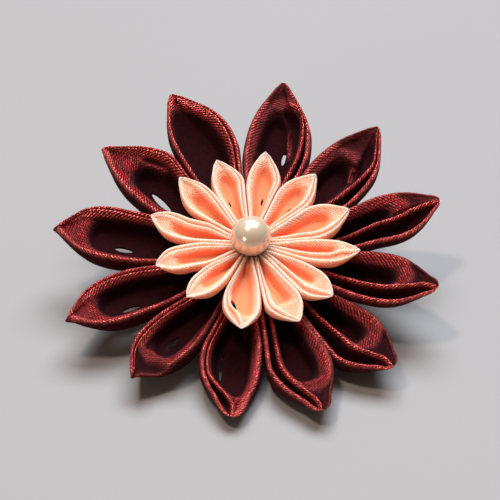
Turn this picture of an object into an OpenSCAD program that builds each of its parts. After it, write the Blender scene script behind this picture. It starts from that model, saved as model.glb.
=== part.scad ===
// Ribbon flower hairpin, lying on its pin with the front petals low. Millimetres, +Z up.
// The flower is laid out flat round its own axis, then leaned towards -Y and lifted over the floor.

/* [Flower] */
// Lean of the flower towards the front, degrees
lean = 15; // [11:1:17]
// Gap kept between neighbouring petals
petal_gap = 0.3; // [0.2:0.05:0.6]

/* [Outer petals] */
// Reach of the outer petals from the flower's axis
outer_reach = 40.5; // [37:0.5:44]
// Width of the outer petals
outer_width = 12; // [10:0.5:13]
// Depth of the outer petals' walls
outer_depth = 5.5; // [4.5:0.25:6.5]
// Rise of the outer ridges from centre to tip
outer_rise = 3.4; // [2.5:0.1:4.5]

/* [Inner petals] */
// Reach of the inner petals from the flower's axis
inner_reach = 21.3; // [19:0.25:23]
// Width of the inner petals
inner_width = 6; // [5:0.25:6.5]
// Depth of the inner petals' walls
inner_depth = 3; // [2.5:0.1:3.4]
// Rise of the inner ridges from centre to tip
inner_rise = 1.6; // [1.2:0.1:2]

/* [Pearl and pin] */
// Diameter of the pearl
pearl_d = 8.25; // [7:0.25:9]
// Radius of the round glue pad
pad_r = 12; // [10:0.5:14]
// Thickness of the glue pad
pad_t = 1.2; // [1:0.1:1.6]
// Radius of the boss that joins the pad to the bar
boss_r = 4.5; // [4:0.25:5]
// Thickness of the bar that the wire is soldered into
bar_t = 2.6; // [2.6:0.1:3.2]
// Length of the bar along the prongs
bar_length = 10.4; // [10:0.2:12]
// Diameter of the pin's wire
wire_d = 1.4; // [1.2:0.1:1.8]
// Distance between the middles of the two prongs
prong_gap = 11; // [9:0.5:13]
// Length of the prongs from the bow's centre to their tips
prong_length = 39; // [34:0.5:40]

/* [Hidden] */

// Columns of the petal tables. A petal's slot lies clockwise of its nested fold, seen from above.
AZ = 0;        // azimuth of the tip, degrees from +X
REACH = 1;     // tip's distance from the axis, share of the ring's reach
RISE = 2;      // tip's height over the ridge's inner end, share of the ring's rise
SLOT_W = 3;    // half width on the slot's side, share of half the ring's width
FOLD_W = 4;    // half width on the nested fold's side, share of half the ring's width
SLOT_MID = 5;  // slot from ridge to ridge at mid length, share of the ring's width
SLOT_OUT = 6;  // slot from ridge to ridge near the tip, share of the ring's width
ROLL = 7;      // roll about the petal's own length, degrees
BEND = 8;      // sideways bow of the petal's length, share of the ring's width
PEAK = 9;      // power that moves the widest place along the length
BOWL_END = 10; // where the bowl ends, share of the length
SLIT_A = 11;   // first station of the slit in the bowl's bottom
SLIT_B = 12;   // last station of the slit, 0 for no slit

OUTER = [
  //  az reach  rise slotw foldw  mid   out  roll  bend  peak  bowl  slit
  [ 17, 1.01, 0.90, 1.20, 0.65, 0.27, 0.42,  0,  0.08, 1.05, 0.70, 0, 0],
  [49, 1.01, 0.80, 1.25, 0.80, 0.24, 0.10,  1,  0.00, 0.80, 0.73, 0, 0],
  [80.5, 1.035, 1.30, 1.20, 0.90, 0.17, 0.05,  2, -0.03, 0.75, 0.83, 5, 6],
  [114, 1.035, 1.25, 1.20, 0.85, 0.10, 0.05, -2, -0.09, 0.92, 0.94, 0, 0],
  [141, 1.00, 0.40, 1.25, 0.80, 0.05, 0.05, -5, -0.04, 0.70, 0.76, 4, 6],
  [175, 1.01, 1.30, 1.25, 0.80, 0.09, 0.05,  1,  0.05, 0.95, 0.80, 4, 6],
  [206, 1.03, 0.95, 0.85, 0.90, 0.08, 0.05, -1, -0.10, 0.85, 0.80, 4, 6],
  [234, 0.98, 1.00, 1.00, 0.75, 0.09, 0.07,  2,  0.05, 0.90, 0.76, 4, 6],
  [265, 1.00, 0.60, 1.05, 0.80, 0.10, 0.18, -2, -0.09, 0.80, 0.87, 4, 5],
  [290, 1.035, 0.90, 0.95, 1.05, 0.19, 0.23,  4, -0.05, 0.80, 0.77, 0, 0],
  [316, 0.985, 0.70, 1.00, 0.95, 0.24, 0.38,  4,  0.00, 0.95, 0.73, 0, 0],
  [343, 0.98, 1.65, 1.20, 0.90, 0.27, 0.33, -1,  0.04, 0.95, 0.75, 0, 0]
];
INNER = [
  //  az reach  rise slotw foldw  mid   out  roll  bend  peak  bowl  slit
  [ 21, 1.00, 0.50, 1.20, 1.15, 0.23, 0.17,  4,  0.00, 0.75, 0.78, 0, 0],
  [ 51, 1.00, 0.70, 1.05, 1.15, 0.17, 0.15,  1,  0.00, 0.75, 0.80, 0, 0],
  [ 82, 1.02, 1.40, 1.05, 0.95, 0.09, 0.12,  1, -0.08, 0.80, 0.88, 0, 0],
  [111, 1.01, 0.60, 1.10, 0.95, 0.15, 0.10,  0, -0.07, 0.80, 0.85, 0, 0],
  [136, 1.01, 1.50, 0.95, 0.95, 0.15, 0.10, -1,  0.06, 0.80, 0.76, 0, 0],
  [166, 1.00, 1.20, 0.90, 0.85, 0.22, 0.13,  0,  0.14, 1.10, 0.76, 0, 0],
  [201, 0.97, 1.70, 1.05, 0.70, 0.18, 0.15,  0, -0.04, 1.00, 0.76, 0, 0],
  [231, 0.96, 2.40, 0.80, 0.80, 0.13, 0.12,  0, -0.02, 0.80, 0.74, 0, 0],
  [265, 1.03, 0.90, 1.10, 1.15, 0.08, 0.35, -2, -0.10, 0.90, 0.83, 0, 0],
  [296, 1.04, 0.70, 1.25, 1.05, 0.14, 0.22,  2, -0.06, 0.80, 0.70, 0, 0],
  [320, 1.01, 0.70, 1.05, 0.95, 0.26, 0.32,  1,  0.05, 0.95, 0.71, 0, 0],
  [353, 1.04, 0.80, 0.95, 0.70, 0.27, 0.40,  1, -0.04, 0.90, 0.78, 0, 0]
];

// Columns of the station table, a row for each section from the centre out to the tip
SHARE = 0;     // share of the length
LEAF = 1;      // share of the half width
WALL = 2;      // share of the wall's depth
STATIONS = [
  // share  leaf  wall
  [0.00, 0.10, 0.35],
  [0.10, 0.24, 0.75],
  [0.20, 0.40, 1.00],
  [0.40, 0.72, 1.00],
  [0.50, 0.87, 1.00],
  [0.60, 0.97, 1.00],
  [0.68, 1.00, 0.98],
  [0.76, 0.95, 0.90],
  [0.84, 0.78, 0.70],
  [0.91, 0.50, 0.47],
  [0.96, 0.26, 0.26],
  [1.00, 0.06, 0.12]
];
// Share of the bowl's depth against the share of the bowl's own length
BOWL = [[0, 0.2], [0.2, 0.75], [0.4, 1], [0.8, 1], [0.92, 0.75], [1, 0.3], [1.1, 0.15], [1.4, 0.12]];

// Cloth edges: how far the rounded ridges reach to each side of their top lines
slot_lip = 0.3;
bowl_lip = 0.55;
fold_lip = 0.5;
fold_inner_lip = 1.4;
lip_depth = 0.5;
// Depth of wall from which the ridges are fully rounded
full_depth = 3;
// Width of the slot where it closes at the tip
slot_end = 0.15;
// Width of the trimmed foot under a petal as a share of the petal's own, and the cloth left under its bowl
FOOT_SHARE = 0.92;
bowl_floor = 1.1;
// Half width of a slit where it comes out under the petal
slit_half = 1;
// Smallest half width of a section, and the softness where a leaf meets its neighbour's plane
least_half = 0.12;
blend = 0.8;
// Place of the outer walls' bend, share of their depth
WALL_AT = 0.42;

// Gap under the lowest petal
floor_gap = 0.3;
// Inner ends of the petals
outer_start = 4.5;
inner_start = pearl_d * 0.425;
// Levels in the flower, from the mean height of the outer tips: ridge starts, pearl and pad
outer_z = -outer_rise;
ring_step = 1.2;
inner_z = outer_z + inner_depth + ring_step;
pearl_z = inner_z + pearl_d * 0.2875;
pad_top = outer_z - outer_depth;
// The lowest petal droops by petal_droop at low_share of its reach
petal_droop = 1.3;
low_share = 0.8;
plane_h = floor_gap + low_share * outer_reach * sin(lean) + (outer_depth + petal_droop) * cos(lean);
// The boss's lower end sinks boss_sink into the bar at its higher, rear edge
boss_sink = 0.15;
boss_bottom = -(plane_h - bar_t + boss_sink + boss_r * sin(lean)) / cos(lean);
// Place of the flower's axis, so that the whole lies centred over the origin
axis_x = 0.9;
axis_y = -0.6;
// The bar lies under the boss's lower end, and the wire's straight parts start bar_inset inside it
bar_y = -boss_bottom * sin(lean);
bar_rim = 0.9;
bar_inset = 0.8;
bow_y = bar_y - bar_length / 2 + bar_inset;

function smin(a, b, k) =
  let (h = min(1, max(0, 0.5 + 0.5 * (b - a) / k))) b * (1 - h) + a * h - k * h * (1 - h);
function leaf_at(s) = lookup(s, [for (r = STATIONS) [r[SHARE], r[LEAF]]]);
function slot_at(s, mid, out) =
  lookup(s, [[0, 0.3 * mid], [0.15, 0.5 * mid], [0.45, mid], [0.8, out], [0.92, 0.62 * out], [1, slot_end]]);

// One closed section of a petal as [across, height], from the slot side's foot over the ridges.
// row: the petal's table row; half_s and half_f: half angles to the neighbours; d: wall depth;
// w: the ring's width.
function section(row, st, x, z, half_s, half_f, d, w) =
  let (
    s = st[SHARE],
    depth = d * st[WALL],
    leaf = leaf_at(pow(s, row[PEAK])) * w / 2,
    mid = row[BEND] * w * sin(180 * s),
    free = petal_gap / 2 + slot_lip,
    wa = max(least_half, smin(leaf * row[SLOT_W], x * tan(half_s) - free + mid, blend)),
    wc = max(least_half, smin(leaf * row[FOLD_W], x * tan(half_f) - free - mid, blend)),
    ya = mid - wa,
    yc = mid + wc,
    slot = min(slot_at(s, row[SLOT_MID] * w, row[SLOT_OUT] * w), 0.55 * (yc - ya)),
    yb = ya + slot,
    bowl = yc - yb,
    drop = lip_depth * min(1, depth / full_depth),
    lip_a = min(slot_lip, 0.2 * slot),
    lip_b = min(bowl_lip, 0.25 * slot),
    lip_c = min(fold_lip, 0.3 * wc),
    slot_depth = drop + 0.9 * min(0.33 * depth, 1.2 * slot),
    bowl_depth = lookup(s / row[BOWL_END], BOWL) * max(0.3 * depth, depth - bowl_floor),
    bowl_drop = min(drop, 0.5 * bowl_depth),
    slit = min(slit_half, 0.25 * min(wa, wc)),
    raw = [
      [mid - FOOT_SHARE * wa, -depth],
      [mid - wa - lip_a, -WALL_AT * depth],
      [ya - lip_a, -drop],
      [ya, 0],
      [ya + lip_a, -drop],
      [ya + 0.6 * slot, -slot_depth],
      [yb - lip_b, -drop],
      [yb, 0],
      [yb + min(bowl_lip, 0.12 * bowl), -bowl_drop],
      [yb + 0.24 * bowl, -0.5 * bowl_depth],
      [yb + 0.38 * bowl, -bowl_depth],
      [yb + 0.56 * bowl, -bowl_depth],
      [yb + 0.70 * bowl, -0.5 * bowl_depth],
      [yc - min(fold_inner_lip, 0.2 * bowl), -1.2 * bowl_drop],
      [yc - 0.3 * lip_c, 0],
      [yc + 0.7 * lip_c, -1.1 * drop],
      [yc + 0.7 * lip_c, -WALL_AT * depth],
      [mid + FOOT_SHARE * wc, -depth],
      [mid + slit, -depth],
      [mid - slit, -depth]
    ]
  )
  [for (p = raw) [p[0], z + p[1] + (p[0] - mid) * tan(row[ROLL])]];

// Faces of the petal: the skin, the two ends, and the walls of the slit where there is one.
// Each four-sided patch is split into two flat triangles.
function patch(n, j, a, b) = [
  [j * n + a, (j + 1) * n + a, (j + 1) * n + b],
  [j * n + a, (j + 1) * n + b, j * n + b]
];
// Triangles that close one end of the petal
END = [
  [0, 1, 5], [1, 2, 4], [1, 4, 5], [2, 3, 4], [0, 5, 19], [5, 6, 9], [6, 7, 8], [6, 8, 9], [5, 9, 10],
  [5, 10, 19], [10, 18, 19], [10, 11, 18], [11, 17, 18], [11, 12, 17], [12, 16, 17], [12, 13, 16],
  [13, 15, 16], [13, 14, 15]
];
// Places in a section of the slit's corners: in the bowl on the slot's side and the fold's, then under the petal.
BOWL_S = 10;
BOWL_F = 11;
FOOT_F = 18;
FOOT_S = 19;
POINTS = 20;   // points of a section
function petal_faces(n, m, sa, sb) = concat(
  [for (j = [0 : m - 2], i = [0 : n - 1])
    if (!(sb > 0 && j >= sa && j < sb && (i == BOWL_S || i == FOOT_F))) each patch(n, j, i, (i + 1) % n)],
  END,
  [for (f = END) [for (i = [2, 1, 0]) (m - 1) * n + f[i]]],
  sb > 0 ? concat(
    [for (j = [sa : sb - 1]) each patch(n, j, BOWL_S, FOOT_S)],
    [for (j = [sa : sb - 1]) each patch(n, j, FOOT_F, BOWL_F)],
    [[sa * n + FOOT_S, sa * n + FOOT_F, sa * n + BOWL_F, sa * n + BOWL_S]],
    [[sb * n + BOWL_S, sb * n + BOWL_F, sb * n + FOOT_F, sb * n + FOOT_S]]
  ) : []
);

// One petal of a ring. start: inner end's radius; z0: ridge height there; d: wall depth.
module petal(table, k, reach, rise, width, start, z0, d) {
  row = table[k];
  last = len(table) - 1;
  before = k == 0 ? table[last] : table[k - 1];
  after = k == last ? table[0] : table[k + 1];
  to_before = row[AZ] - before[AZ] + (k == 0 ? 360 : 0);
  to_after = after[AZ] - row[AZ] + (k == last ? 360 : 0);
  // The angle between two neighbours is shared out by the widths of the sides that meet there.
  half_s = to_before * row[SLOT_W] / (row[SLOT_W] + before[FOLD_W]);
  half_f = to_after * row[FOLD_W] / (row[FOLD_W] + after[SLOT_W]);
  points = [
    for (st = STATIONS)
    let (x = start + st[SHARE] * (row[REACH] * reach - start), z = z0 + row[RISE] * rise * st[SHARE])
    for (p = section(row, st, x, z, half_s, half_f, d, width))
    [x, p[0], p[1]]
  ];
  on_flower() rotate([0, 0, row[AZ]])
    polyhedron(points, petal_faces(POINTS, len(STATIONS), row[SLIT_A], row[SLIT_B]), convexity = 8);
}

// Leans the flower and lifts it over the floor.
module on_flower() {
  translate([axis_x, axis_y, plane_h]) rotate([lean, 0, 0]) children();
}

module outer_petal(k) {
  color("darkred")
    petal(OUTER, k - 1, outer_reach, outer_rise, outer_width, outer_start, outer_z, outer_depth);
}

module inner_petal(k) {
  color("peachpuff")
    petal(INNER, k - 1, inner_reach, inner_rise, inner_width, inner_start, inner_z, inner_depth);
}

module pearl() {
  color("ivory") on_flower() translate([0, 0, pearl_z]) sphere(d = pearl_d, $fn = 64);
}

// Round glue pad, boss and bar, soldered onto a wire bent into two prongs that lie on the floor.
module hairpin() {
  color("silver") union() {
    on_flower() {
      translate([0, 0, pad_top - pad_t]) cylinder(h = pad_t, r = pad_r, $fn = 96);
      translate([0, 0, boss_bottom]) cylinder(h = pad_top - pad_t / 2 - boss_bottom, r = boss_r, $fn = 96);
    }
    translate([axis_x - prong_gap / 2 - wire_d / 2 - bar_rim, axis_y + bar_y - bar_length / 2, 0])
      cube([prong_gap + wire_d + 2 * bar_rim, bar_length, bar_t]);
    translate([axis_x, axis_y + bow_y, wire_d / 2]) {
      for (side = [-1, 1]) translate([side * prong_gap / 2, 0, 0]) {
        rotate([-90, 0, 0]) cylinder(h = prong_length, d = wire_d, $fn = 48);
        translate([0, prong_length, 0]) sphere(d = wire_d, $fn = 48);
      }
      rotate([0, 0, 180]) rotate_extrude(angle = 180, $fn = 96)
        translate([prong_gap / 2, 0]) circle(d = wire_d, $fn = 48);
    }
  }
}

outer_petal(1);  // outer_petal_01
outer_petal(2);  // outer_petal_02
outer_petal(3);  // outer_petal_03
outer_petal(4);  // outer_petal_04
outer_petal(5);  // outer_petal_05
outer_petal(6);  // outer_petal_06
outer_petal(7);  // outer_petal_07
outer_petal(8);  // outer_petal_08
outer_petal(9);  // outer_petal_09
outer_petal(10);  // outer_petal_10
outer_petal(11);  // outer_petal_11
outer_petal(12);  // outer_petal_12
inner_petal(1);  // inner_petal_01
inner_petal(2);  // inner_petal_02
inner_petal(3);  // inner_petal_03
inner_petal(4);  // inner_petal_04
inner_petal(5);  // inner_petal_05
inner_petal(6);  // inner_petal_06
inner_petal(7);  // inner_petal_07
inner_petal(8);  // inner_petal_08
inner_petal(9);  // inner_petal_09
inner_petal(10);  // inner_petal_10
inner_petal(11);  // inner_petal_11
inner_petal(12);  // inner_petal_12
pearl();
hairpin();
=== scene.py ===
# Kanzashi hairpin: a leaning flower of twelve burgundy and twelve peach satin petals round a pearl,
# on a two-pronged pin. Each petal is a closed skin of folded ribbon that stands for its solid in
# part.scad, whose sizes are repeated here. The pearl is a new bead. The pin keeps its solid.
import math
from collections import namedtuple
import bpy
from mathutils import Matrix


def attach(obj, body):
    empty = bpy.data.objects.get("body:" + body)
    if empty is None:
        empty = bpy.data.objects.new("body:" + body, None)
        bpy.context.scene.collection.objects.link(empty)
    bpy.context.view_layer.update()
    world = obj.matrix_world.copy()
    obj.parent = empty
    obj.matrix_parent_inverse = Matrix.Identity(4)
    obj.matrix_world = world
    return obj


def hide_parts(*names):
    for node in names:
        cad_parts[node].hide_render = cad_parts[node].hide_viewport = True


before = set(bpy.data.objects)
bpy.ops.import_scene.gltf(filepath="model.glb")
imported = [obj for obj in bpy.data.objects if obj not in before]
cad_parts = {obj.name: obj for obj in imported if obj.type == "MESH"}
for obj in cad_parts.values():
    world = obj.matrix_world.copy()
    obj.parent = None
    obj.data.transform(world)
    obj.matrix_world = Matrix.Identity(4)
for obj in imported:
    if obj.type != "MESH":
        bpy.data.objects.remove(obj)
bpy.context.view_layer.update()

from types import SimpleNamespace

import bmesh
import bpy
import numpy as np
from mathutils import Matrix, Vector

MM = 0.001

# Sizes of the source, in millimetres
LEAN = math.radians(15)        # of the flower, to the front
AXIS_X, AXIS_Y = 0.9, -0.6     # place of the flower's axis
PEARL_D = 8.25
OUTER_REACH = 40.5
OUTER_DEPTH = 5.5
OUTER_RISE = 3.4
INNER_Z = 0.8                  # level of the inner petals' ridges at the centre
FLOOR_GAP = 0.3                # under the lowest petal
PETAL_DROOP = 1.3              # of the lowest petal, at LOW_SHARE of its reach
LOW_SHARE = 0.8
FOOT_SHARE = 0.92              # width of a petal's foot, share of the petal's
PEARL_Z = INNER_Z + PEARL_D * 0.2875
PLANE_H = (FLOOR_GAP + LOW_SHARE * OUTER_REACH * math.sin(LEAN)
           + (OUTER_DEPTH + PETAL_DROOP) * math.cos(LEAN))
TO_TABLE = Matrix.Translation((AXIS_X, AXIS_Y, PLANE_H)) @ Matrix.Rotation(LEAN, 4, "X")

# The two rings of petals, in millimetres where it isn't a share or a count
# reach, width, depth, rise: as in the source; start, z0: place of the ridges' inner ends
# fall: length over which a bowl sinks to its bottom, for an outer petal's size
# belly: swell of the outer walls; tuck: how far the inner ends reach in under the pearl
# cleft: depth of the slot, share of the usual; shade: strength of the painted shade on the walls and in an
# open slot
# sections: cross sections along a petal; bowl: columns of points across its bowl
OUTER_RING = dict(
    reach=OUTER_REACH, width=12, depth=OUTER_DEPTH, rise=OUTER_RISE, start=4.5, z0=-OUTER_RISE,
    fall=1.0, belly=0.45, tuck=0.0, cleft=1.0, shade=1.0, sections=96, bowl=36)
INNER_RING = dict(
    reach=21.3, width=6, depth=3, rise=1.6, start=PEARL_D * 0.425, z0=INNER_Z,
    fall=3.1, belly=0.3, tuck=1.3, cleft=0.33, shade=0.3, sections=72, bowl=28)

# A row for each petal: az, azimuth of the tip in degrees from +X; reach and rise, shares of the ring's;
# slot_w and fold_w, half widths on the slot's and on the nested fold's side, shares of half the ring's
# width; slot_mid and slot_out, slot at mid length and near the tip, shares of the ring's width; roll, in
# degrees; bend, sideways bow, share of the ring's width; peak, power that moves the widest place;
# bowl_end, where the bowl ends, share of the length
Row = namedtuple("Row", "az reach rise slot_w fold_w slot_mid slot_out roll bend peak bowl_end")
OUTER = [Row(*row) for row in (
    (17, 1.01, 0.90, 1.10, 0.65, 0.27, 0.42, 0, 0.08, 1.05, 0.74),
    (49, 1.01, 0.80, 1.25, 0.80, 0.24, 0.10, 1, 0.00, 0.80, 0.73),
    (80.5, 1.035, 1.30, 1.20, 0.90, 0.17, 0.05, 2, -0.03, 0.75, 0.83),
    (114, 1.035, 1.25, 1.20, 0.78, 0.10, 0.05, -2, -0.09, 0.92, 0.96),
    (141, 1.00, 0.85, 1.25, 0.80, 0.05, 0.05, -5, -0.04, 0.70, 0.76),
    (175, 1.01, 1.45, 1.25, 0.80, 0.09, 0.05, 1, 0.05, 0.95, 0.80),
    (206, 1.03, 1.15, 0.85, 0.90, 0.08, 0.05, -1, -0.10, 0.85, 0.80),
    (233, 0.98, 1.00, 1.00, 0.75, 0.09, 0.07, 2, 0.05, 0.90, 0.76),
    (265, 1.00, 0.60, 1.05, 0.80, 0.10, 0.18, -2, -0.09, 0.80, 0.87),
    (290, 1.035, 0.90, 0.95, 1.05, 0.19, 0.23, 4, -0.05, 0.80, 0.77),
    (315.1, 1.00, 0.70, 1.05, 0.95, 0.24, 0.38, 4, 0.00, 0.95, 0.73),
    (343, 0.98, 1.65, 1.02, 0.90, 0.27, 0.33, -1, 0.04, 0.95, 0.75),
)]
INNER = [Row(*row) for row in (
    (21, 1.02, 0.50, 1.20, 1.15, 0.23, 0.17, 4, 0.00, 0.75, 0.78),
    (51, 1.00, 0.70, 1.05, 1.15, 0.17, 0.15, 1, 0.00, 0.75, 0.80),
    (82, 1.02, 1.40, 1.05, 0.95, 0.09, 0.12, 1, -0.08, 0.80, 0.88),
    (109.5, 1.01, 0.60, 1.10, 0.95, 0.15, 0.10, 0, -0.07, 0.80, 0.85),
    (135, 0.985, 1.50, 0.95, 0.95, 0.15, 0.10, -1, 0.06, 0.80, 0.76),
    (165, 1.00, 1.20, 0.90, 0.85, 0.22, 0.13, 0, 0.14, 1.10, 0.76),
    (201, 0.97, 1.70, 1.05, 0.70, 0.18, 0.15, 0, -0.04, 1.00, 0.76),
    (231, 0.96, 2.40, 0.80, 0.80, 0.13, 0.12, 0, -0.02, 0.80, 0.74),
    (265, 1.03, 0.90, 1.10, 1.15, 0.08, 0.35, -2, -0.10, 0.90, 0.83),
    (296, 1.04, 0.70, 1.25, 1.05, 0.14, 0.22, 2, -0.06, 0.80, 0.70),
    (320, 1.01, 0.70, 1.05, 0.95, 0.26, 0.32, 1, 0.05, 0.95, 0.71),
    (353, 1.055, 0.80, 0.95, 0.70, 0.27, 0.40, 1, -0.04, 0.90, 0.78),
)]

# Sections from the centre out: share of the length, share of the half width, share of the wall's depth
STATION_S, STATION_LEAF, STATION_WALL = np.array([
    (0.00, 0.10, 0.35), (0.10, 0.24, 0.75), (0.20, 0.40, 1.00), (0.30, 0.56, 1.00), (0.40, 0.72, 1.00),
    (0.50, 0.87, 1.00), (0.60, 0.97, 1.00), (0.68, 1.00, 0.98), (0.76, 0.95, 0.90), (0.84, 0.78, 0.70),
    (0.91, 0.50, 0.47), (0.96, 0.26, 0.26), (1.00, 0.04, 0.10),
]).T

# What the scene adds to each petal, in millimetres where it isn't a share
# valley, groove: width, share of the bowl's, and depth of the groove beside ridge B in the gusset
# low: how far the low ridge beside the groove runs back into the bowl, 0 for none
# run: how far past the bowl's end the groove goes on
# rope: width of the rolled ridge B, share of the usual; band: width of the nested fold's band
# dull: painted shade on the flat tip beyond the bowl and along the outer wall on ridge C's side, 0 to 1; the
# material also makes that cloth rougher
# slit: in the bowl's bottom, start and end along, place across, all shares, and width
# eye: slot at four places towards the tip, shares of the ring's width
# blunt: radius of a round tip; prow: height of the tip, share of the depth
# slump: how far the flat tip sinks towards ridge C, share of the depth
# turn_in: how far the slot side's foot turns in, share of the half width
OUTER_LOOK = [
    dict(valley=0.34, groove=1.4, low=0.0, band=2.5, dull_shade=0.85, turn_in=0.4, blunt=1.0,
         eye=(0.40, 0.40, 0.30, 0.2)),
    dict(valley=0.46, groove=2.4, low=3.5, band=2.0, dull_shade=0.9, turn_in=0.35, rope=1.5),
    dict(valley=0.46, groove=3.0, low=10.0, band=2.3, dull_shade=0.9, rope=1.5, run=1.5,
         slit=(0.55, 0.635, 0.30, 0.8)),
    dict(valley=0.14, groove=0.3, low=0.0, band=1.3, dull_shade=0.3, rope=2.0),
    dict(valley=0.25, groove=0.8, low=5.0, band=2.0, dull_shade=0.25, prow=0.15,
         slit=(0.465, 0.635, 0.60, 1.2)),
    dict(valley=0.20, groove=0.5, low=0.0, band=1.7, dull_shade=0.25, prow=0.22, slump=0.15,
         slit=(0.545, 0.66, 0.55, 1.0)),
    dict(valley=0.20, groove=0.2, low=0.0, band=1.6, dull_shade=0.3, prow=0.25, slump=0.2,
         slit=(0.55, 0.67, 0.58, 0.8)),
    dict(valley=0.24, groove=0.6, low=0.0, band=2.1, dull_shade=1.0, prow=0.2, slump=0.75,
         slit=(0.54, 0.69, 0.42, 1.1)),
    dict(valley=0.20, groove=0.5, low=0.0, band=1.6, dull_shade=0.2, blunt=1.3,
         slit=(0.50, 0.70, 0.25, 0.5), eye=(0.09, 0.18, 0.25, 0.21)),
    dict(valley=0.18, groove=0.5, low=0.0, band=2.4, dull_shade=1.0, blunt=1.0, slump=0.3,
         eye=(0.21, 0.22, 0.20, 0.15)),
    dict(valley=0.18, groove=0.5, low=0.0, band=2.3, dull_shade=1.0, blunt=1.1, slump=0.15,
         eye=(0.34, 0.35, 0.28, 0.17)),
    dict(valley=0.18, groove=0.5, low=0.0, band=2.3, dull_shade=1.0, blunt=1.1, slump=0.15, turn_in=0.6,
         eye=(0.32, 0.34, 0.28, 0.19)),
]
INNER_LOOK = [dict(valley=0.2, groove=0.12, low=0.0, band=1.0, dull_shade=0.1) for _ in INNER]
# Inner petals 2, 3, 4 and 9 show a dark hole between their folds.
INNER_LOOK[1]["slit"] = (0.44, 0.54, 0.30, 0.4)
INNER_LOOK[2]["slit"] = (0.38, 0.49, 0.35, 0.4)
INNER_LOOK[3]["slit"] = (0.40, 0.51, 0.62, 0.4)
INNER_LOOK[8]["slit"] = (0.56, 0.75, 0.13, 1.1)

# Cloth of an outer petal, in millimetres
A_OUT, A_IN, A_DROP = 0.5, 0.55, 0.75      # rolled ridge A: reach out and in from its top line, and drop
B_OUT, B_IN = 0.66, 1.4                    # rolled ridge B: reach to the slot and to the bowl
C_OUT, C_IN, C_DROP = 0.5, 0.3, 0.65       # rolled ridge C, as A
SLOT_LIP_DROP = 1.0                        # how far down the slot's edges are round
CLOTH = 0.7                                # cloth left under the bowl
PEARL_GAP = 0.12                           # from an inner petal to the pearl over it
SIDE_GAP = 0.04                            # from a rolled ridge to the plane between two neighbours
WALL_GAP = 0.08                            # from a swollen wall to that plane
TIP_RADIUS = 0.4                           # of a tip that isn't blunt
SEAM_HALF, SEAM_OPEN = 0.012, 0.06         # half width of the closed seam, and from which it counts as open
SLIT_FLARE = 0.25                          # how much wider a slit is under the foot, to each side
GROOVE_W, GROOVE_RUN = 3.3, 1.2            # most width of the groove, and its run into the bowl
FULL_BOWL = 5                              # width of bowl from which the groove has its full depth
SIDE_BLEND, END_BLEND = 1.2, 3.6           # softness of the bowl's sides, and of its outer end
GUSSET_RISE = 0.5                          # crown of the gusset beyond the bowl
SOLE_HOLLOW = 0.4                          # hollow under the trimmed foot
UNEVEN, UNEVEN_B = 0.05, 0.04              # unevenness of the outer ridges and of ridge B
SHADE_FROM, SHADE_FULL = 0.75, 2.1       # depths under the ridges between which painted shade darkens the cloth
UNDER_RIDGE = (0.05, 0.9)                  # the same for the outer walls

# Shares of a petal's length
PACKED_FROM, PACKED_TO = 0.27, 0.62        # where neighbours stop filling all the room between them
TUCKED_TO = 0.08                           # where the inner end has come out from under the pearl
TIP_FROM = 0.8                             # where a tip begins to have its own shape
SLOT_AT = (0, 0.15, 0.45, 0.7, 0.8, 0.9, 0.96, 1)      # where the slot's widths are given
CROWDING = 1.3                             # power that sets the sections closer together at the tip

# Other shares
MOST_SLOT = 0.58                           # slot, of the width from ridge A to ridge C
SLOT_END = 0.012                           # slot at the tip, of the ring's width
MOST_BAND, MOST_SHOULDER = 0.30, 0.24      # band and rolled ridge B, of the bowl's width
SEAM_AT = 0.55                             # seam, across the bowl
SOLE_SHARE = 0.97                          # cloth of the foot, of the foot's half width
SLOT_WALL_SHADE, FOLD_WALL_SHADE, SOLE_SHADE = 0.75, 0.85, 0.55     # painted shade on the walls and the foot

# Points across a petal
WALL_ROWS = 12                                             # up an outer wall
WALL_CURVE = 2.2                                           # how soon a wall reaches its full width
QUARTER = np.linspace(0, math.pi / 2, 6)                   # angles round a rolled ridge
SLOT_POINTS = np.linspace(0, 1, 9)[1:-1]                   # shares of the slot
FOOT = (0.0, 0.04, 0.12, 0.3, 0.5, 0.7, 0.88, 0.96, 1.0)   # shares of one side of the foot


# Curves
def pchip(xs, ys, x):
    """Smooth interpolation that keeps to the values of a table and doesn't overshoot them."""
    xs, ys = np.asarray(xs, float), np.asarray(ys, float)
    step, slope = np.diff(xs), np.diff(ys) / np.diff(xs)
    after, before = 2 * step[1:] + step[:-1], step[1:] + 2 * step[:-1]
    on = slope[1:] * slope[:-1] > 0      # no turning point
    tangent = np.zeros_like(ys)
    tangent[1:-1][on] = (after + before)[on] / (after[on] / slope[:-1][on] + before[on] / slope[1:][on])
    tangent[0], tangent[-1] = slope[0], slope[-1]
    x = np.clip(x, xs[0], xs[-1])
    i = np.clip(np.searchsorted(xs, x) - 1, 0, len(step) - 1)
    t = (x - xs[i]) / step[i]
    return ((1 + 2 * t) * (1 - t) ** 2 * ys[i] + t * (1 - t) ** 2 * step[i] * tangent[i]
            + t * t * (3 - 2 * t) * ys[i + 1] + t * t * (t - 1) * step[i] * tangent[i + 1])


def smin(a, b, k):
    """The lesser of two values, rounded over a width k where they meet."""
    h = np.clip(0.5 + 0.5 * (b - a) / k, 0, 1)
    return b * (1 - h) + a * h - k * h * (1 - h)


def smooth(v, lo, hi):
    """0 at lo, 1 at hi, with a soft step between them."""
    t = np.clip((v - lo) / (hi - lo), 0, 1)
    return t * t * (3 - 2 * t)


def wobble(s, rng, size, waves=4):
    """A slow unevenness along a ridge that fades at both ends."""
    out = np.zeros_like(s)
    for n in range(1, waves + 1):
        out += rng.normal() / n ** 0.7 * np.sin(math.pi * (n + 1) * s + rng.uniform(0, 6.28))
    return size * out * np.sin(math.pi * np.clip(s, 0, 1)) ** 0.5


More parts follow.
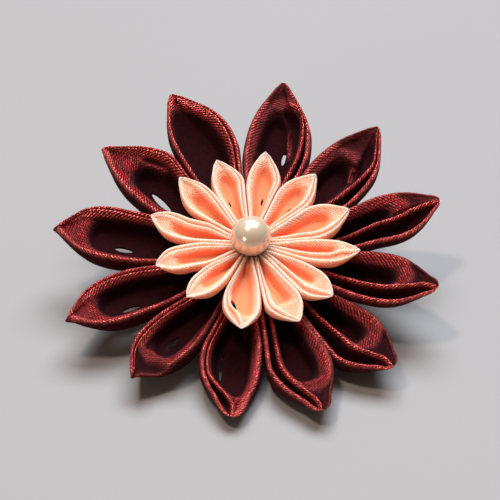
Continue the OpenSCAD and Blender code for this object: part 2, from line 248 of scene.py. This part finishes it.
# One petal, laid along +X in the flower's own frame, with the slot's side to -Y. From that side, the
# skin climbs the outer wall to ridge A, dips into the slot, passes ridge B, the bowl or the gusset
# beyond it and the nested fold's band, and goes down over ridge C and back under the petal's foot.
# p holds the petal's values, most with a number for each section: s, its share of the length; x and z,
# its place; mid, the middle line; ridge_a to ridge_c, places across; half_a and half_c, half widths.
def lay_out(row, look, ring, half_s, half_f, seed):
    """Sets out a petal's length, its middle line and the lines of its three ridges."""
    rng = np.random.default_rng(seed)
    p = SimpleNamespace(row=row, look=look, ring=ring)
    p.big = ring["width"] / OUTER_RING["width"]
    p.fine = 0.5 + 0.5 * p.big          # folds don't shrink quite as much as the petal does
    width = ring["width"]
    p.s = 1 - (1 - np.linspace(0, 1, ring["sections"])) ** CROWDING
    p.length = row.reach * ring["reach"] - ring["start"]
    p.x = ring["start"] + p.s * p.length
    p.x = p.x - ring["tuck"] * np.clip(1 - p.s / TUCKED_TO, 0, 1) ** 2
    pearl_r = PEARL_D / 2
    under_pearl = PEARL_Z - np.sqrt(np.maximum(0.02, pearl_r ** 2 - p.x ** 2)) - PEARL_GAP
    p.z = ring["z0"] + row.rise * ring["rise"] * p.s
    p.z = np.where(p.x < pearl_r, np.minimum(p.z, under_pearl), p.z)
    p.prow = look.get("prow", 0)
    at_tip = p.s > TIP_FROM
    p.depth = ring["depth"] * pchip(STATION_S, STATION_WALL, p.s)
    p.depth = np.maximum(p.depth, p.prow * ring["depth"] * at_tip)

    leaf = pchip(STATION_S, STATION_LEAF, p.s ** row.peak) * width / 2
    blunt = look.get("blunt", TIP_RADIUS)
    leaf = np.maximum(leaf, np.sqrt(np.maximum(0, 2 * blunt * p.big * (1 - p.s) * p.length)) * at_tip)
    p.mid = row.bend * width * np.sin(math.pi * p.s)
    room_s, room_f = p.x * math.tan(half_s), p.x * math.tan(half_f)
    p.half_a = half_width(p, leaf * row.slot_w, room_s + p.mid, rng)
    p.half_c = half_width(p, leaf * row.fold_w, room_f - p.mid, rng)
    p.limit_s, p.limit_f = room_s - WALL_GAP + p.mid, room_f - WALL_GAP - p.mid
    p.ridge_a, p.ridge_c = p.mid - p.half_a, p.mid + p.half_c

    mid_slot, out_slot = row.slot_mid, row.slot_out
    eye = look.get("eye", (0.5 * (mid_slot + out_slot), out_slot, 0.8 * out_slot, 0.6 * out_slot))
    slot_widths = np.array([0.4 * mid_slot, 0.65 * mid_slot, mid_slot, *eye, SLOT_END]) * width
    slot = pchip(SLOT_AT, slot_widths, p.s)
    slot = np.minimum(slot, MOST_SLOT * (p.ridge_c - p.ridge_a))
    p.ridge_b = p.ridge_a + slot + wobble(p.s, rng, UNEVEN_B * p.big) * np.clip(slot / 0.8, 0, 1)
    p.slot = p.ridge_b - p.ridge_a
    return p


def half_width(p, leaf, room, rng):
    """Half width of one side: the leaf's own, but near the centre all the room beside the neighbour."""
    room = room - SIDE_GAP - np.clip(room / 3, 0.02, 0.5 * p.fine)
    packed = 1 - smooth(p.s, PACKED_FROM, PACKED_TO)
    wide = leaf + np.maximum(0, 0.98 * room - leaf) * packed
    return np.maximum(0.1, smin(wide, room, 0.5 * p.big)) + wobble(p.s, rng, UNEVEN * p.big)


def measure_bowl(p):
    """Edges and depths of the bowl, the gusset beyond its outer end, the band and the slit."""
    look, big, s = p.look, p.big, p.s
    p.c_in = np.minimum(C_IN * p.fine, 0.3 * p.half_c)
    p.inner = np.maximum(p.ridge_c - p.c_in - p.ridge_b, 0.02)      # width from ridge B to ridge C
    p.ahead = (p.row.bowl_end - s) * p.length                       # distance inside the bowl's outer end
    p.gusset = (1 - p.row.bowl_end) * p.length
    p.band = np.minimum(look["band"], MOST_BAND * p.inner)
    p.shoulder = np.minimum(B_IN * p.fine, MOST_SHOULDER * p.inner) * look.get("rope", 1)
    p.floor = np.maximum(0.3 * p.depth, p.depth - CLOTH * big ** 0.5)
    p.start_fade = np.clip(s / 0.3, 0, 1) ** 0.7

    # groove beside ridge B, and the low ridge that may go on from it into the bowl
    low = look["low"]
    p.reach_in = low if low else GROOVE_RUN * big
    back = np.clip(p.ahead / p.reach_in, 0, 1)
    groove_w = np.minimum(p.inner * look["valley"], GROOVE_W * big)
    edge_b = groove_w * (1 - back ** 2 * (0.35 if low else 1))
    narrowing = np.clip(1 - (p.ahead - p.reach_in) / (2.5 * big), 0, 1) ** 0.5
    p.edge_b = np.maximum(edge_b * narrowing, p.shoulder)
    p.groove = look["groove"] * np.clip(p.inner / (FULL_BOWL * big), 0, 1)
    p.groove = p.groove * (1 - 0.6 * np.clip(p.ahead / (p.reach_in + 2 * big), 0, 1))
    if "run" in look:
        p.groove = p.groove * smooth(p.ahead, -look["run"], 1.5 - look["run"])
    p.low_drop = np.clip(p.ahead, 0, None) * (0.10 if low else 0.35)

    # seam along the bowl's bottom, where a slit opens in some petals
    start, end, across, slit_w = look.get("slit", (0, 1, SEAM_AT, 0))
    to_valley = np.clip(-p.ahead / (1.5 * big) + 0.5, 0, 1)
    p.seam = across * (1 - to_valley) + (0.5 * look["valley"]) * to_valley
    t = np.clip((s - start) / (end - start), 0, 1)
    opening = slit_w / 2 * np.sin(math.pi * t) ** 0.7 * ((s > start) & (s < end))
    p.half_gap = np.minimum(SEAM_HALF * big + opening, 0.2 * p.inner)


def bowl_drop(p, u):
    """Depth under the ridges at distance u from ridge B, in the bowl, the gusset and the band."""
    big, band, ahead = p.big, p.band, p.ahead
    v = p.inner - u

    # bowl, which falls from the groove's edge, from the band and from its outer end
    from_b, from_c = u - p.edge_b, v - band
    dist = smin(smin(from_b, from_c, SIDE_BLEND * big), ahead, END_BLEND * big)
    inside = 0.5 * (dist + np.sqrt(dist ** 2 + (0.3 * big) ** 2))
    fall = p.floor * (1 - np.exp(-(inside / (p.ring["fall"] * big)) ** 1.2))

    # band rolled over beside ridge C, cord beside ridge B, and the crown of the gusset between them
    arch = np.sin(math.pi * np.clip(u / p.inner, 0, 1))
    turn = np.clip((smin(from_c, ahead, SIDE_BLEND * big) + band) / np.maximum(band, 0.01), 0, 1)
    roll = band * (0.12 * turn + 0.40 * (1 - np.sqrt(1 - (0.97 * turn) ** 2)))
    cord = 0.75 * p.shoulder * (1 - np.sqrt(1 - np.clip(u / p.shoulder, 0, 0.97) ** 2))
    lip = roll * np.clip(u / p.shoulder, 0, 1) ** 2 + cord
    outward = np.clip((-ahead - 0.5 * band) / p.gusset, 0, 1)
    lip = lip + GUSSET_RISE * big * arch ** 0.7 * np.sin(math.pi * outward ** 0.8)

    # groove beside ridge B, and the low ridge's own slope down from it
    g = np.clip(u / np.maximum(p.edge_b, 0.01), 0, 1)
    groove = p.groove * np.sin(math.pi * g ** 0.8)
    level = p.low_drop * g * np.clip(v / np.maximum(p.inner, 0.01), 0, 1)
    return np.minimum(lip + groove + level + fall * p.start_fade, np.maximum(p.floor, 0.05))


class Skin:
    """Columns of points along a petal, each the points' places across and their heights."""

    def __init__(self, p):
        self.p = p
        self.across, self.height = [], []

    def add(self, y, z):
        for columns, values in ((self.across, y), (self.height, z)):
            columns.append(np.broadcast_to(values, self.p.s.shape).astype(float))

    def count(self):
        return len(self.across)

    def climb(self, ridge, reach, drop):
        """Rounded edge up to a ridge's top line, without the line itself."""
        for t in QUARTER[:-1]:
            self.add(ridge - reach * math.cos(t), -drop * (1 - math.sin(t)))

    def descend(self, ridge, reach, drop):
        """Rounded edge down from a ridge's top line."""
        for t in QUARTER:
            self.add(ridge + reach * math.sin(t), -drop * (1 - math.cos(t)))

    def wall_point(self, t, foot, top, drop, limit):
        """Half width and height of an outer wall at a share t of its height."""
        p = self.p
        out = foot + (top - foot) * (1 - (1 - t) ** WALL_CURVE)
        swell = p.ring["belly"] * math.sin(math.pi * t) * smooth(p.s, 0.1, 0.4)
        swell = out + swell * (1 - smooth(p.s, 0.7, 0.95))
        return np.maximum(out, np.minimum(swell, limit)), -p.depth + (p.depth - drop) * t

    def sole(self, start, end):
        """Trimmed and singed foot of one side, slightly hollow."""
        p = self.p
        under = SOLE_HOLLOW * p.big * np.clip(np.minimum(p.half_a, p.half_c) / (2 * p.big), 0, 1)
        under = under * np.clip(p.depth / p.ring["depth"], 0, 1)
        for t in FOOT:
            self.add(start + (end - start) * t, -p.depth + under * math.sin(math.pi * t) ** 0.5)


def petal_skin(p):
    """Columns of a petal's skin, from the foot on the slot's side round to that foot again."""
    skin, marks, fine = Skin(p), {}, p.fine
    foot_s = FOOT_SHARE - p.look.get("turn_in", 0) * smooth(p.s, 0.1, 0.45)

    # outer wall on the slot's side, and ridge A
    a_out, a_drop = np.minimum(A_OUT * fine, 0.5 * p.half_a), np.minimum(A_DROP * fine, 0.3 * p.depth)
    for t in np.linspace(0, 1, WALL_ROWS)[:-1]:
        out, height = skin.wall_point(t, p.half_a * foot_s, p.half_a + a_out, a_drop, p.limit_s)
        skin.add(p.mid - out, height)
    skin.climb(p.ridge_a, a_out, a_drop)
    marks["A"] = skin.count()
    a_in, lip = np.minimum(A_IN * fine, 0.38 * p.slot), np.minimum(SLOT_LIP_DROP * fine, p.slot)
    skin.descend(p.ridge_a, a_in, lip)

    # slot, and ridge B
    b_out = np.minimum(B_OUT * fine, 0.44 * p.slot)
    cleft = p.ring["cleft"] * np.minimum(0.75 * p.depth, 0.8 * fine + 1.8 * p.slot)
    cleft = np.maximum(cleft, 1.05 * lip)
    left, right = p.ridge_a + a_in, p.ridge_b - b_out
    for t in SLOT_POINTS:
        skin.add(left + (right - left) * t, -(lip + (cleft - lip) * (1 - abs(2 * t - 1) ** 3)))
    marks["slot"] = skin.count() - 4
    skin.climb(p.ridge_b, b_out, lip)
    marks["B"] = skin.count()

    # bowl, down to the seam and up to the nested fold
    half = p.ring["bowl"] // 2
    to_seam = p.seam * p.inner - p.half_gap
    for j in range(1, half + 1):
        u = to_seam * (j / half) ** 1.5
        skin.add(p.ridge_b + u, -bowl_drop(p, u))
    marks["floor"] = skin.count() - 1
    from_seam = p.inner - p.seam * p.inner - p.half_gap
    for j in range(half):
        u = p.inner - from_seam * (1 - j / half) ** 1.35
        skin.add(p.ridge_b + u, -bowl_drop(p, u))

    # ridge C, and the outer wall on the fold's side
    marks["C"] = skin.count()
    c_out, c_drop = np.minimum(C_OUT * fine, 0.5 * p.half_c), np.minimum(C_DROP * fine, 0.3 * p.depth)
    skin.add(p.ridge_c - 0.5 * p.c_in, 0.02)
    skin.descend(p.ridge_c, c_out, c_drop)
    for t in np.linspace(1, 0, WALL_ROWS)[1:]:
        out, height = skin.wall_point(t, p.half_c * FOOT_SHARE, p.half_c + c_out, c_drop, p.limit_f)
        skin.add(p.mid + out, height)

    # foot, parted where the slit comes out
    marks["foot"] = skin.count()
    slot_foot = p.mid - SOLE_SHARE * foot_s * p.half_a
    fold_foot = p.mid + SOLE_SHARE * FOOT_SHARE * p.half_c
    gap = np.where(p.half_gap > 0.05 * p.big, p.half_gap + SLIT_FLARE, p.half_gap)
    slit = np.clip(p.ridge_b + p.seam * p.inner, slot_foot + gap + 0.05, fold_foot - gap - 0.05)
    skin.sole(fold_foot, slit + gap)
    skin.sole(slit - gap, slot_foot)
    return np.stack(skin.across, 1), np.stack(skin.height, 1), marks


def shape_tip(p, across, height):
    """Draws a raised tip in over its foot, and lets a flat one sink towards ridge C."""
    over_foot = np.clip(1 + height / np.maximum(p.depth, 0.01)[:, None], 0, 1)
    drawn_in = 0.9 * p.prow * p.ring["depth"] * smooth(p.s, 0.82, 1.0)[:, None] * over_foot
    bowl_w = np.maximum(p.ridge_c - p.ridge_b, 0.05)[:, None]
    to_c = np.clip((across - p.ridge_b[:, None]) / bowl_w, 0, 1) ** 1.5
    outward = smooth(p.s, p.row.bowl_end - 0.02, min(0.97, p.row.bowl_end + 0.13))
    sink = p.look.get("slump", 0) * (p.depth - 0.3) * outward
    above_foot = height > -p.depth[:, None] + 0.01
    sunk = np.where(above_foot, height - sink[:, None] * to_c * over_foot, height)
    return p.x[:, None] - drawn_in, sunk


def cloth_coordinates(p, across, height, marks):
    """Place of each point on the flat ribbon, along and across its slanting ribs."""
    rows, columns = across.shape
    step = np.hypot(np.diff(across, axis=1), np.diff(height, axis=1))
    arc = np.concatenate([np.zeros((rows, 1)), np.cumsum(step, 1)], 1)
    down, along = np.zeros((rows, columns)), np.zeros((rows, columns))
    slot, seam = marks["slot"], marks["floor"] + 1
    for first, last, ridge, sign in ((0, slot, "A", 1), (slot, seam, "B", 1), (seam, columns, "C", -1)):
        k = marks[ridge]
        ridge_step = np.sqrt(np.diff(p.x) ** 2 + np.diff(across[:, k]) ** 2 + np.diff(p.z) ** 2)
        from_tip = np.concatenate([np.cumsum(ridge_step[::-1])[::-1], [0]])
        down[:, first:last] = sign * (arc[:, first:last] - arc[:, k:k + 1])
        along[:, first:last] = from_tip[:, None]
    return np.stack([along + down, along - down], -1) / math.sqrt(2)


def fold_shade(p, across, height, marks):
    """Painted shade at each point, 0 to 1: low in the folds, in an open slot, on the flat tip and on the
    outer walls; the material also makes the shaded cloth rougher.
    """
    look, ring, big, fine = p.look, p.ring, p.big, p.fine
    # painted shade that grows with the depth under the ridges
    shade = smooth(-height, SHADE_FROM * fine, SHADE_FULL * fine)

    def at_least(columns, values):
        shade[:, columns] = np.maximum(shade[:, columns], values)

    # painted shade in an open slot
    open_slot = smooth(p.slot, 0.25 * big, 0.8 * big)[:, None]
    slot = slice(marks["A"] + 3, marks["B"] - 2)
    middle = 1 - np.abs(np.linspace(-1, 1, slot.stop - slot.start)) ** 4
    at_least(slot, middle * open_slot * ring["shade"])

    # painted shade on the flat tip beyond the bowl
    bowl = slice(marks["B"] + 2, marks["C"] + 1)
    side = np.clip((across[:, bowl] - p.ridge_b[:, None]) / p.inner[:, None], 0, 1)
    beyond = -p.ahead[:, None] + 1.6 * big * (2 * side - 1) ** 2
    at_least(bowl, look["dull_shade"] * smooth(beyond, 0.6 * look["band"], 1.8 * look["band"]))

    # painted highlight on the crest of the low ridge, which catches the light: less painted shade there
    if look["low"]:
        beside = slice(marks["B"], marks["floor"])
        on_low = smooth(p.ahead, -1.0, 0.5) * (1 - smooth(p.ahead, 0.8 * p.reach_in, 1.1 * p.reach_in))
        from_crest = across[:, beside] - p.ridge_b[:, None] - (p.edge_b - 0.25)[:, None]
        shade[:, beside] *= 1 - 0.8 * np.exp(-(from_crest / 0.45) ** 2) * on_low[:, None]

    # painted shade on the outer walls and on the foot, with more on the fold side's wall towards the tip
    slot_wall, fold_wall = slice(0, marks["A"]), slice(marks["C"] + 1, None)
    under_ridge = smooth(-height, UNDER_RIDGE[0] * fine, UNDER_RIDGE[1] * fine)
    shade[:, slot_wall] = SLOT_WALL_SHADE * ring["shade"] * under_ridge[:, slot_wall]
    shade[:, fold_wall] = FOLD_WALL_SHADE * ring["shade"] * under_ridge[:, fold_wall]
    at_least(fold_wall, 0.6 * look["dull_shade"] * smooth(-p.ahead, -4, 4)[:, None])
    at_least(fold_wall, FOLD_WALL_SHADE * look["dull_shade"] ** 2)
    at_least(slice(marks["C"] + 3, None), SOLE_SHADE * ring["shade"])
    return shade


def place_on_table(p, along, across, height):
    """The skin's points in metres, section by section, rolled, turned to the azimuth and leaned."""
    z = height + (across - p.mid[:, None]) * math.tan(math.radians(p.row.roll)) + p.z[:, None]
    ca, sa = math.cos(math.radians(p.row.az)), math.sin(math.radians(p.row.az))
    points = np.stack([along * ca - across * sa, along * sa + across * ca, z], -1).reshape(-1, 3)
    to_table = np.array(TO_TABLE)
    return (points @ to_table[:3, :3].T + to_table[:3, 3]) * MM


def skin_faces(p, uv, marks):
    """Faces of the skin, less the slit, with the slit's walls and the two ends, and their UVs."""
    rows, columns = uv.shape[:2]
    seam, under = marks["floor"], marks["foot"] + len(FOOT) - 1
    is_open = p.half_gap > SEAM_OPEN * p.big
    faces, uvs = [], []
    for i in range(rows - 1):
        here, there = i * columns, (i + 1) * columns
        hole = is_open[i] and is_open[i + 1]
        for j in range(columns):
            if hole and j in (seam, under):
                continue
            k = (j + 1) % columns
            k_uv = k if k else j
            faces.append((here + j, here + k, there + k, there + j))
            uvs += [uv[i, j], uv[i, k_uv], uv[i + 1, k_uv], uv[i + 1, j]]
        if hole:
            for a, b in ((seam, under + 1), (under, seam + 1)):
                faces.append((here + a, here + b, there + b, there + a))
                uvs += [uv[i, a]] * 4
    slit_rows = np.where(is_open)[0]
    if len(slit_rows):
        corners = (seam, seam + 1, under, under + 1)
        for i, order in ((slit_rows[0], corners), (slit_rows[-1], corners[::-1])):
            faces.append(tuple(i * columns + j for j in order))
            uvs += [uv[i, seam]] * 4
    faces.append(tuple(range(columns))[::-1])
    uvs += [uv[0, 0]] * columns
    faces.append(tuple(range((rows - 1) * columns, rows * columns)))
    uvs += [uv[rows - 1, 0]] * columns
    return faces, uvs


def petal(name, p, cloth):
    """One petal as an object, with the flat ribbon's coordinates as its UVs."""
    measure_bowl(p)
    across, height, marks = petal_skin(p)
    along, height = shape_tip(p, across, height)
    uv = cloth_coordinates(p, across, height, marks)
    shade = fold_shade(p, across, height, marks)
    points = place_on_table(p, along, across, height)
    faces, uvs = skin_faces(p, uv, marks)
    mesh = bpy.data.meshes.new(name)
    mesh.from_pydata(points.tolist(), [], faces)
    mesh.uv_layers.new(name="cloth").data.foreach_set("uv", np.asarray(uvs, np.float32).ravel())
    # painted shade of the folds, kept on the points for the material
    painted_shade = mesh.attributes.new("painted_shade", "FLOAT", "POINT")
    painted_shade.data.foreach_set("value", shade.astype(np.float32).ravel())
    bm = bmesh.new()
    bm.from_mesh(mesh)
    bmesh.ops.recalc_face_normals(bm, faces=bm.faces)
    return smooth_object(bm, mesh, cloth)


def smooth_object(bm, mesh, material):
    """Fills a mesh from bm, shades it smooth and puts it in the scene."""
    bm.to_mesh(mesh)
    bm.free()
    mesh.shade_smooth()
    mesh.materials.append(material)
    return in_scene(mesh.name, mesh)


def in_scene(name, data):
    """A new object for a mesh, a light or a camera."""
    obj = bpy.data.objects.new(name, data)
    bpy.context.scene.collection.objects.link(obj)
    return obj


def ring_of_petals(kind, table, looks, ring, cloth):
    """A ring of petals that share the angle between two neighbours by the widths that meet there."""
    for k, row in enumerate(table):
        before, after = table[k - 1], table[(k + 1) % len(table)]
        half_s = (row.az - before.az) % 360 * row.slot_w / (row.slot_w + before.fold_w)
        half_f = (after.az - row.az) % 360 * row.fold_w / (row.fold_w + after.slot_w)
        p = lay_out(row, looks[k], ring, math.radians(half_s), math.radians(half_f),
                    seed=100 * (kind == "inner") + k)
        ob = petal(f"{kind}_ribbon_petal_{k + 1:02d}", p, cloth)
        node = f"{kind}_petal_{k + 1:02d}"
        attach(ob, "root")
        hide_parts(node)


# Materials
class Shader:
    """A material's node tree, with short ways to add nodes and to join them."""

    def __init__(self, name):
        self.material = bpy.data.materials.new(name)
        self.material.use_nodes = True
        self.nodes = self.material.node_tree.nodes
        self.surface = self.nodes["Principled BSDF"]

    def fill(self, node, inputs):
        """Sets a node's inputs by name or place: to a value, or by a link where a socket is given."""
        for key, value in inputs.items():
            if isinstance(value, bpy.types.NodeSocket):
                self.material.node_tree.links.new(value, node.inputs[key])
            else:
                node.inputs[key].default_value = value

    def node(self, kind, inputs, **settings):
        node = self.nodes.new("ShaderNode" + kind)
        for key, value in settings.items():
            setattr(node, key, value)
        self.fill(node, inputs)
        return node

    def math(self, operation, *values):
        return self.node("Math", dict(enumerate(values)), operation=operation).outputs[0]

    def noise(self, vector, detail, dimensions="3D", scale=1.0):
        inputs = {"Vector": vector, "Scale": scale, "Detail": detail}
        return self.node("TexNoise", inputs, noise_dimensions=dimensions).outputs[0]

    def ramp(self, factor, *stops):
        node = self.node("ValToRGB", {0: factor})
        elements = node.color_ramp.elements
        while len(elements) < len(stops):
            elements.new(0.5)
        for element, (place, colour) in zip(elements, stops):
            element.position = place
            element.color = (*colour, 1)
        return node.outputs[0]

    def mix(self, factor, a, b):
        return self.node("Mix", {"Factor": factor, "A": a, "B": b}, data_type="RGBA").outputs["Result"]


def satin(name, dark, bright, pale, hollow, crest, pitch, metallic, rough, contrast, bump, bleed=0):
    """Ribbon with slanting ribs of short threads, with a painted sheen that makes the thread floats bright,
    a painted highlight on the folds' crests and a painted shade, plain and matte, low in the folds.

    dark, bright: colour between and on the threads, the bright one partly a painted sheen; pale: painted
    highlight colour on the folds' crests, and crest: how far they have it; hollow: painted shade colour low
    in the folds; pitch: from rib to rib, in millimetres; contrast: of the floats against the finer threads;
    bump: strength of the relief; bleed: subsurface weight."""
    sh = Shader(name)
    cloth = sh.node("UVMap", {}, uv_map="cloth").outputs[0]
    place = sh.node("SeparateXYZ", {0: cloth})
    # painted shade, from the petal's points
    painted_shade = sh.node("Attribute", {}, attribute_name="painted_shade").outputs["Fac"]

    # ribs, a little uneven
    slow = sh.noise(cloth, 2, "2D", 0.9)
    across = sh.math("MULTIPLY_ADD", slow, 0.6 * pitch, place.outputs[0])
    wave = sh.math("SINE", sh.math("MULTIPLY", across, 2 * math.pi / pitch))
    rib = sh.math("MULTIPLY_ADD", wave, 0.5, 0.5)

    # floats: short lengths of thread that lie along each rib, bright with a painted sheen
    laid = sh.node("CombineXYZ", {0: place.outputs[1], 1: sh.math("ADD", across, 0.25 * pitch)})
    floats = sh.node("TexBrick", {
        "Vector": laid.outputs[0], "Scale": 1.0, "Brick Width": 1.3 * pitch, "Row Height": pitch,
        "Mortar Size": 0.2 * pitch, "Mortar Smooth": 1.0, "Color1": (1, 1, 1, 1),
        "Color2": (0.22, 0.22, 0.22, 1), "Mortar": (0.05, 0.05, 0.05, 1)}).outputs["Color"]
    stretched = sh.node("CombineXYZ", {
        0: sh.math("MULTIPLY", place.outputs[0], 1.6 / pitch),
        1: sh.math("MULTIPLY", place.outputs[1], 2.4 / pitch)})
    threads = sh.noise(stretched.outputs[0], 3, "2D")

    # relief, which the folds lose
    height = sh.math("MULTIPLY_ADD", floats, 0.9, sh.math("MULTIPLY", rib, 0.7))
    height = sh.math("MULTIPLY_ADD", threads, 0.5, height)
    strength = sh.math("MULTIPLY_ADD", painted_shade, -0.85 * bump, bump)
    relief = sh.node("Bump", {"Strength": strength, "Distance": 0.00018, "Height": height})

    # colour: thread by thread with a painted sheen on the floats, a painted highlight paler on the crests,
    # and painted shade, plain, in the hollows
    tone = sh.math("MULTIPLY", floats, contrast)
    tone = sh.math("ADD", tone, sh.math("MULTIPLY", threads, 1.1 - contrast))
    colour = sh.ramp(tone, (0.15, dark), (0.72, bright))
    # painted highlight along each ridge's top line
    from_crest = sh.math("ABSOLUTE", sh.math("SUBTRACT", place.outputs[0], place.outputs[1]))
    near_crest = sh.node("MapRange", {
        "Value": from_crest, "From Min": 4.0 * pitch, "From Max": 1.5 * pitch},
        interpolation_type="SMOOTHSTEP").outputs[0]
    painted_highlight = sh.math("MULTIPLY", sh.math("MULTIPLY", near_crest, tone), crest)
    colour = sh.mix(painted_highlight, colour, (*pale, 1))
    # painted shade: the hollow colour where the shade is strong
    colour = sh.mix(sh.math("MULTIPLY", painted_shade, 0.97), colour, (*hollow, 1))

    sh.fill(sh.surface, {
        "Base Color": colour, "Normal": relief.outputs[0],
        "Metallic": sh.math("MULTIPLY_ADD", painted_shade, -0.95 * metallic, metallic) if metallic else 0.0,
        "Specular IOR Level": sh.math("MULTIPLY_ADD", painted_shade, -0.45, 0.5),
        "Roughness": sh.math("MULTIPLY_ADD", painted_shade, 1 - rough, rough),
        "Subsurface Weight": bleed, "Subsurface Radius": (1.0, 0.68, 0.54), "Subsurface Scale": 0.0022})
    return sh.material


def nacre():
    """Pearly coat, warmer where the surface turns away."""
    sh = Shader("pearl")
    facing = sh.node("LayerWeight", {"Blend": 0.35}).outputs["Facing"]
    colour = sh.ramp(facing, (0.0, (0.80, 0.66, 0.49)), (0.45, (0.80, 0.68, 0.53)), (1.0, (1.0, 0.78, 0.62)))
    sh.fill(sh.surface, {
        "Base Color": colour, "Metallic": 0.5, "Roughness": 0.21,
        "Coat Weight": 0.7, "Coat Roughness": 0.07})
    return sh.material


def steel():
    """Drawn wire and sheet, with fine streaks along the prongs."""
    sh = Shader("steel")
    place = sh.node("TexCoord", {}).outputs["Object"]
    streaks = sh.node("Mapping", {0: place, "Scale": (900, 25, 900)}).outputs[0]
    grain = sh.noise(streaks, 4)
    sh.fill(sh.surface, {
        "Base Color": sh.ramp(grain, (0.3, (0.38, 0.38, 0.40)), (0.7, (0.60, 0.60, 0.62))),
        "Roughness": sh.math("MULTIPLY_ADD", grain, 0.2, 0.22), "Metallic": 1.0})
    return sh.material


def table_paper():
    """Plain pale grey under the part."""
    sh = Shader("table_paper")
    sh.fill(sh.surface, {"Base Color": (0.236, 0.236, 0.243, 1), "Roughness": 0.6})
    return sh.material


# Pieces
def petals():
    burgundy = satin(
        "burgundy_satin", dark=(0.016, 0.0012, 0.002), bright=(0.36, 0.020, 0.024),
        pale=(0.96, 0.175, 0.16), hollow=(0.0095, 0.0024, 0.0034), crest=0.9,
        pitch=0.58, metallic=0.85, rough=0.31, contrast=0.9, bump=1.0)
    peach = satin(
        "peach_satin", dark=(0.94, 0.36, 0.20), bright=(1.0, 0.52, 0.37),
        pale=(1.0, 0.80, 0.72), hollow=(0.88, 0.235, 0.112), crest=1.0,
        pitch=0.48, metallic=0.0, rough=0.38, contrast=0.7, bump=0.95, bleed=0.85)
    ring_of_petals("outer", OUTER, OUTER_LOOK, OUTER_RING, burgundy)
    ring_of_petals("inner", INNER, INNER_LOOK, INNER_RING, peach)


def pearl():
    bm = bmesh.new()
    bmesh.ops.create_uvsphere(bm, u_segments=128, v_segments=64, radius=PEARL_D / 2)
    ob = smooth_object(bm, bpy.data.meshes.new("pearl_bead"), nacre())
    ob.data.transform(Matrix.Scale(MM, 4) @ TO_TABLE @ Matrix.Translation((0, 0, PEARL_Z)))
    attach(ob, "root")
    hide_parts("pearl")


def hairpin():
    """The pin keeps its solid and gets a steel of its own."""
    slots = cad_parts["hairpin"].data.materials
    slots.clear()
    slots.append(steel())


def table():
    half = 1.5
    mesh = bpy.data.meshes.new("table")
    corners = [(-half, -half, 0), (half, -half, 0), (half, half, 0), (-half, half, 0)]
    mesh.from_pydata(corners, [], [(0, 1, 2, 3)])
    mesh.materials.append(table_paper())
    ob = in_scene("table", mesh)


# Lights, a metre off, and the room's own weak light
LIGHT_TARGET = Vector((0, 0, 0.015))
LIGHT_DISTANCE = 1.0


def area_light(name, direction, size, power, colour):
    """A rectangular light, in a direction given in the flower's own leaning frame."""
    light = bpy.data.lights.new(name, "AREA")
    light.shape = "RECTANGLE"
    light.size, light.size_y = size
    light.energy = power
    light.color = colour
    ob = in_scene(name, light)
    ob.location = Matrix.Rotation(LEAN, 3, "X") @ Vector(direction).normalized() * LIGHT_DISTANCE
    ob.rotation_euler = (LIGHT_TARGET - ob.location).to_track_quat("-Z", "Y").to_euler()


def lights():
    """A broad cool window from behind, a small warm lamp overhead, a weak one from the front left."""
    area_light("back_window", (0.10, 0.635, 0.745), (0.80, 0.56), 19.6, (0.90, 0.95, 1.0))
    area_light("overhead", (-0.29, 0.20, 0.975), (0.13, 0.13), 4.7, (1.0, 0.81, 0.67))
    area_light("front_left", (-0.607, -0.655, 0.452), (0.22, 0.22), 1.2, (1.0, 0.82, 0.62))
    world = bpy.data.worlds.new("room")
    bpy.context.scene.world = world
    world.use_nodes = True
    background = world.node_tree.nodes["Background"]
    background.inputs["Color"].default_value = (0.95, 0.66, 0.54, 1)
    background.inputs["Strength"].default_value = 0.25


# Camera, fitted to the photo: angle over the flower's plane, distance in metres, focal length and size
# of the photo in its pixels
VIEW_OVER_FLOWER = math.radians(55.2)
CAMERA_DISTANCE = 0.6
FOCAL_PIXELS = 2921.4
PHOTO_PIXELS = 500
SENSOR = 36


def camera():
    tilt = VIEW_OVER_FLOWER - LEAN
    target = Vector((AXIS_X, AXIS_Y, PLANE_H)) * MM
    cam = bpy.data.cameras.new("photo")
    cam.sensor_width = SENSOR
    cam.lens = FOCAL_PIXELS / PHOTO_PIXELS * SENSOR
    cam.shift_x, cam.shift_y = -0.002, -0.0106
    cam.clip_start = 0.01
    ob = in_scene("photo", cam)
    away = (0, -CAMERA_DISTANCE * math.cos(tilt), CAMERA_DISTANCE * math.sin(tilt))
    ob.location = target + Vector(away)
    ob.rotation_euler = (target - ob.location).to_track_quat("-Z", "Y").to_euler()
    bpy.context.scene.camera = ob


petals()
pearl()
hairpin()
table()
lights()
camera()
bpy.context.scene.view_settings.view_transform = "Standard"
